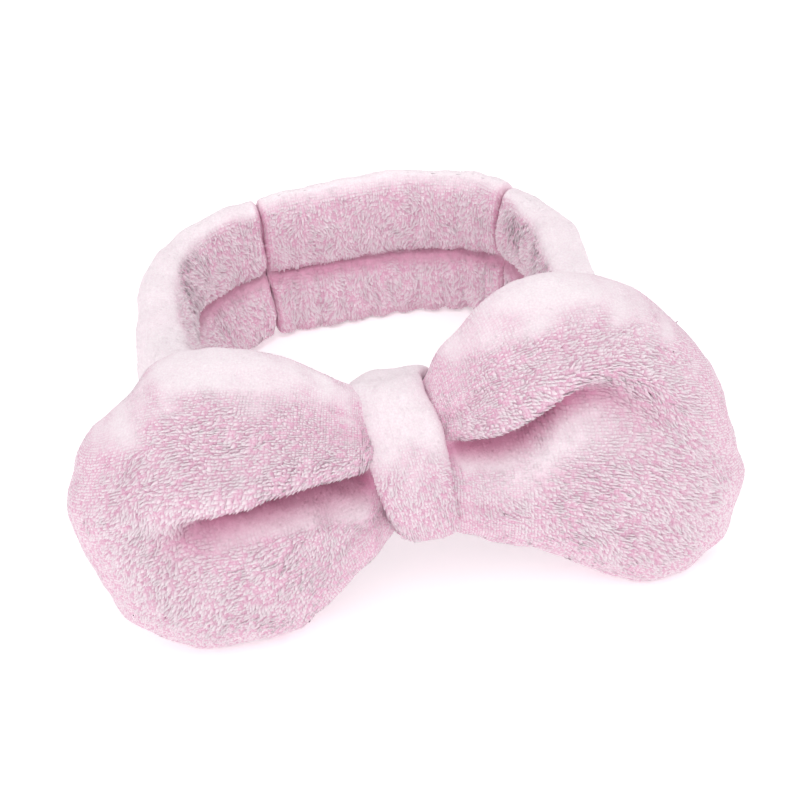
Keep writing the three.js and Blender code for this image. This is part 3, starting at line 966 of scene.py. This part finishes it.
def shared_material(name, make, *details):
    """A material made once and used by every piece of that finish."""
    return bpy.data.materials.get(name) or make(name, *details)


def plush():
    """The fleece of the front sleeve and the bow."""
    return shared_material("headband_fleece", fleece_material, 0.0)


def gathered_plush():
    """The fleece of the gathered back, its colours made a little paler all over."""
    return shared_material("headband_gathered_fleece", fleece_material, -0.06)


def repaint(node, material):
    """Gives a carried-over CAD node a finished material."""
    mesh = frame["nodes"][node].data
    mesh.materials.clear()
    mesh.materials.append(material)


def stitch_points(centre, along, out):
    """The points of one stitch: five rings of eight, thin at both ends."""
    beside = unit(np.cross(along, out))
    turn = np.linspace(0, 2 * math.pi, 8, endpoint=False)[:, None]
    ring = THREAD_RADIUS * (beside * np.cos(turn) + out * np.sin(turn))
    return [centre + STITCH_HALF_LENGTH * share * along + swollen * ring
            for share, swollen in ((-1.0, 0.15), (-0.7, 0.8), (0.0, 1.0), (0.7, 0.8), (1.0, 0.15))]


def stitch_quads():
    """The quads of one stitch, closed at both ends."""
    cap = np.array([(0, 1, 2, 3), (0, 3, 4, 7), (4, 5, 6, 7)])
    return np.concatenate([tube_quads(5, 8), cap, 32 + cap[:, ::-1]])


def blend_along_band(piece):
    """Bakes a piece's place into its points."""
    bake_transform(piece)


# ---- One operator for each piece or group of like pieces ----

class HEADBAND_OT_front_sleeve(bpy.types.Operator):
    """Make the front sleeve, which runs behind the bow and round both sides"""

    bl_idname = "headband.front_sleeve"
    bl_label = "Front sleeve"

    def execute(self, context):
        skin = band_skin(LEFT_JOIN - 1, RIGHT_JOIN, 330, 136, gathered=False)
        skin.soften([(0.9, 16), (0.4, 6)], 11)
        comb_band(skin, 12)
        skin.rest_on_floor(0.5)
        piece = make_fleece("front_sleeve_fleece", skin, 13, plush(), curl=0.8)
        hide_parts("front_sleeve")
        blend_along_band(piece)
        return {"FINISHED"}


class HEADBAND_OT_back_sleeve(bpy.types.Operator):
    """Make the gathered back sleeve, which holds the elastic"""

    bl_idname = "headband.back_sleeve"
    bl_label = "Back sleeve"

    def execute(self, context):
        skin = band_skin(RIGHT_JOIN, LEFT_JOIN, 104, 136, gathered=True)
        skin.soften([(0.5, 12), (0.35, 5)], 21)
        comb_band(skin, 22, smoothest=0.4)
        skin.rest_on_floor(0.5)
        piece = make_fleece("back_sleeve_fleece", skin, 23, gathered_plush(), curl=0.9)
        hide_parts("back_sleeve")
        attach(piece, "back")
        return {"FINISHED"}


class HEADBAND_OT_lobes(bpy.types.Operator):
    """Make the bow's two padded lobes and their fillings"""

    bl_idname = "headband.lobes"
    bl_label = "Bow lobes"

    def execute(self, context):
        padding = context.scene.headband_bow.padding / MM
        for name, side, edge, fold in (("left", -1, LEFT_EDGE, LEFT_FOLD),
                                       ("right", 1, RIGHT_EDGE, RIGHT_FOLD)):
            skin = lobe_skin(side, edge, fold)
            skin.soften([(0.7, 14), (0.35, 5)], 31 + side)
            comb_lobe(skin, side, fold, 41 + side)
            skin.rest_on_floor(0.5)
            piece = make_fleece(f"{name}_lobe_fleece", skin, 51 + side, plush(), curl=0.5)
            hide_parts(f"{name}_lobe_front_panel", f"{name}_lobe_back_panel")
            self.bend(piece, name, side)
            filling = self.filling(name, side, edge, fold, padding)
            self.bend(filling, name, side)
        return {"FINISHED"}

    def bend(self, piece, name, side):
        """Bakes the place of a lobe's piece into its points."""
        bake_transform(piece)

    def filling(self, name, side, edge, fold, padding):
        """The wadding inside a lobe."""
        skin = lobe_skin(side, edge, fold, padding, along=66, across=60)
        skin.soften([(0.4, 9)], 61)
        skin.rest_on_floor(4.0)
        piece = make_mesh(f"{name}_lobe_filling", skin.points, skin.quads)
        piece.data.materials.append(shared_material("headband_wadding", wadding_material))
        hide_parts(f"{name}_lobe_wadding")
        return piece


class HEADBAND_OT_knot(bpy.types.Operator):
    """Make the wrap round the bow's middle, and the gathered waist inside it"""

    bl_idname = "headband.knot"
    bl_label = "Knot"

    def execute(self, context):
        skin = knot_skin()
        skin.soften([(0.45, 8), (0.2, 4)], 71)
        comb_knot(skin, 72)
        piece = make_fleece("knot_wrap_fleece", skin, 73, plush(), curl=0.7)
        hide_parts("knot_wrap")
        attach(piece, "front")
        self.waist()
        return {"FINISHED"}

    def waist(self):
        """The bow's gathered middle, pleated lengthways, hidden in the wrap."""
        rings, sides = 15, 72
        x = np.linspace(-6.5, 6.5, rings)
        angle = np.linspace(0, 2 * np.pi, sides, endpoint=False)
        pleat = 1 + 0.07 * np.cos(9 * angle)
        round_end = 1 - 0.5 * (np.abs(x) / 6.5) ** 6
        up = round_end[:, None] * 15.5 * pleat * np.sin(angle)
        out = round_end[:, None] * 4.2 * pleat * np.cos(angle)
        points, quads = capped_tube(in_bow(np.repeat(x[:, None], sides, 1), up, out))
        # The hidden waist takes some painted fold shade.
        even = {"tuft": 0.4, "shade": 0.5, "fold": 0.6}
        values = {name: np.full(len(points), number) for name, number in even.items()}
        piece = make_mesh("bow_waist_gathers", points, quads, values)
        piece.data.materials.append(plush())
        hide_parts("bow_waist")
        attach(piece, "front")


class HEADBAND_OT_seams(bpy.types.Operator):
    """Make the closing seam's stitches, and finish the elastic, join seams and knot stitches"""

    bl_idname = "headband.seams"
    bl_label = "Seams and elastic"

    def execute(self, context):
        thread = shared_material("headband_thread", thread_material)
        front = self.closing_seam("front_closing_stitches", LEFT_JOIN - 1 + 0.006, RIGHT_JOIN - 0.006, thread)
        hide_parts("front_closing_seam")
        blend_along_band(front)
        back = self.closing_seam("back_closing_stitches", RIGHT_JOIN + 0.008, LEFT_JOIN - 0.008, thread)
        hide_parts("back_closing_seam")
        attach(back, "back")
        for node in ("left_join_seam", "right_join_seam"):
            repaint(node, gathered_plush())
        repaint("knot_stitches", thread)
        repaint("back_elastic", shared_material("headband_elastic", elastic_material))
        return {"FINISHED"}

    def closing_seam(self, name, start, stop, material):
        """Slanting ladder stitches, sunk in the bottom of the crease."""
        count = int(round((stop - start) * 2 * math.pi * LINE_HALF_WIDTH / STITCH_STEP))
        place = BandPlace(np.linspace(start, stop, count))
        _, thickness, crease = band_sizes(place)
        middle = place.middle + place.out * (crease - thickness / 2 + 1.6)[:, None] - 1.0 * place.up
        slant = unit(unit(np.gradient(middle, axis=0)) + 0.35 * place.up)
        points = np.array([stitch_points(*each) for each in zip(middle, slant, place.out)]).reshape(-1, 3)
        quads = (40 * np.arange(count)[:, None, None] + stitch_quads()).reshape(-1, 4)
        piece = make_mesh(name, points, quads)
        piece.data.materials.append(material)
        return piece


class HEADBAND_OT_stage(bpy.types.Operator):
    """Make the floor, the soft lights and the camera"""

    bl_idname = "headband.stage"
    bl_label = "Floor, light and camera"

    def execute(self, context):
        self.floor(context.scene.headband_stage)
        self.lights(context.scene, context.scene.headband_stage)
        self.camera(context.scene, context.scene.headband_stage)
        context.scene.view_settings.view_transform = "Standard"
        return {"FINISHED"}

    def floor(self, settings):
        """A wide plain floor that the headband stands on."""
        corners = [(-3000, -3000, 0), (3000, -3000, 0), (3000, 3000, 0), (-3000, 3000, 0)]
        floor = make_mesh("floor", corners, [(0, 1, 2, 3)], smooth=False)
        material, nodes, links, shader = new_material("headband_floor")
        grain = noise(nodes, links, 40.0, 2.0)
        tone = [value * 0.99 for value in settings.floor_colour]
        colour = mix_colours(nodes, links, grain, tone, list(settings.floor_colour))
        links.new(colour, shader.inputs["Base Color"])
        shader.inputs["Roughness"].default_value = 0.9
        shader.inputs["Specular IOR Level"].default_value = 0.1
        shader.inputs["Emission Color"].default_value = (1, 1, 1, 1)
        shader.inputs["Emission Strength"].default_value = 0.3
        floor.data.materials.append(material)

    def lights(self, scene, settings):
        """A large light overhead and in front, a weaker one on each side, a soft one into the ring, and an
        even white sky."""
        for name, place, size, power in (("key_light", (0.05, -0.75, 0.95), 0.9, settings.key_power),
                                         ("right_light", (0.9, -0.5, 0.5), 0.8, settings.key_power * 0.3),
                                         ("left_light", (-0.9, -0.4, 0.5), 0.8, settings.key_power * 0.5)):
            lamp = bpy.data.lights.new(name, "AREA")
            lamp.size = size
            lamp.energy = power
            self.aim(scene, lamp, place, (0, 0, 0.03))
        lamp = bpy.data.lights.new("ring_light", "SPOT")
        lamp.spot_size = math.radians(9.5)
        lamp.spot_blend = 0.7
        lamp.shadow_soft_size = 0.06
        lamp.energy = settings.key_power * 3.6
        self.aim(scene, lamp, (0.0, -0.35, 0.80), (0.0, 0.055, 0.03))
        world = bpy.data.worlds.new("white_sky")
        world.use_nodes = True
        sky = world.node_tree.nodes["Background"]
        sky.inputs["Color"].default_value = (1, 1, 1, 1)
        sky.inputs["Strength"].default_value = settings.sky_strength / 100
        scene.world = world

    def aim(self, scene, lamp, place, target):
        """Puts a light at a place, turned to a target."""
        light = bpy.data.objects.new(lamp.name, lamp)
        light.location = place
        light.rotation_euler = (Vector(target) - Vector(place)).to_track_quat("-Z", "Y").to_euler()
        scene.collection.objects.link(light)

    def camera(self, scene, settings):
        """The camera, in front of the headband, above it and a little to the left."""
        turn, rise, roll = (math.radians(angle) for angle in CAMERA_ANGLES)
        forward = -Vector((math.sin(turn) * math.cos(rise), -math.cos(turn) * math.cos(rise), math.sin(rise)))
        level = forward.cross(Vector((0, 0, 1))).normalized()
        upright = level.cross(forward)
        right = level * math.cos(roll) + upright * math.sin(roll)
        up = upright * math.cos(roll) - level * math.sin(roll)
        place = Vector(CAMERA_TARGET) - forward * CAMERA_DISTANCE
        place += right * CAMERA_SHIFT[0] + up * CAMERA_SHIFT[1]
        lens = bpy.data.cameras.new("camera")
        lens.lens = settings.lens
        lens.sensor_width = 36
        camera = bpy.data.objects.new("camera", lens)
        turned = Matrix((right, up, -forward)).transposed()
        camera.matrix_world = Matrix.Translation(place) @ turned.to_4x4()
        scene.collection.objects.link(camera)
        scene.camera = camera


class HEADBAND_PT_panel(bpy.types.Panel):
    """The headband's pieces and their sizes"""

    bl_idname = "HEADBAND_PT_panel"
    bl_label = "Plush headband"
    bl_space_type = "VIEW_3D"
    bl_region_type = "UI"
    bl_category = "Headband"

    def draw(self, context):
        scene = context.scene
        for title, settings in (("Band", scene.headband_band), ("Bow", scene.headband_bow),
                                ("Fleece", scene.headband_fleece), ("Stage", scene.headband_stage)):
            box = self.layout.box()
            box.label(text=title)
            for name in settings.__annotations__:
                box.prop(settings, name)
        for piece in PIECES:
            self.layout.operator(piece.bl_idname)


SETTINGS = {
    "headband_band": BandSettings,
    "headband_bow": BowSettings,
    "headband_fleece": FleeceSettings,
    "headband_stage": StageSettings,
}
PIECES = (
    HEADBAND_OT_front_sleeve,
    HEADBAND_OT_back_sleeve,
    HEADBAND_OT_lobes,
    HEADBAND_OT_knot,
    HEADBAND_OT_seams,
    HEADBAND_OT_stage,
)


def register():
    """Registers the settings, the operators and the panel."""
    for name, group in SETTINGS.items():
        bpy.utils.register_class(group)
        setattr(bpy.types.Scene, name, PointerProperty(type=group))
    for piece in (*PIECES, HEADBAND_PT_panel):
        bpy.utils.register_class(piece)


def unregister():
    """Takes the panel, the operators and the settings out again."""
    for piece in (HEADBAND_PT_panel, *reversed(PIECES)):
        bpy.utils.unregister_class(piece)
    for name, group in SETTINGS.items():
        delattr(bpy.types.Scene, name)
        bpy.utils.unregister_class(group)


def main():
    """Builds the headband and its stage."""
    register()
    bpy.ops.headband.front_sleeve()
    bpy.ops.headband.back_sleeve()
    bpy.ops.headband.lobes()
    bpy.ops.headband.knot()
    bpy.ops.headband.seams()
    bpy.ops.headband.stage()


if __name__ == "__main__":
    main()
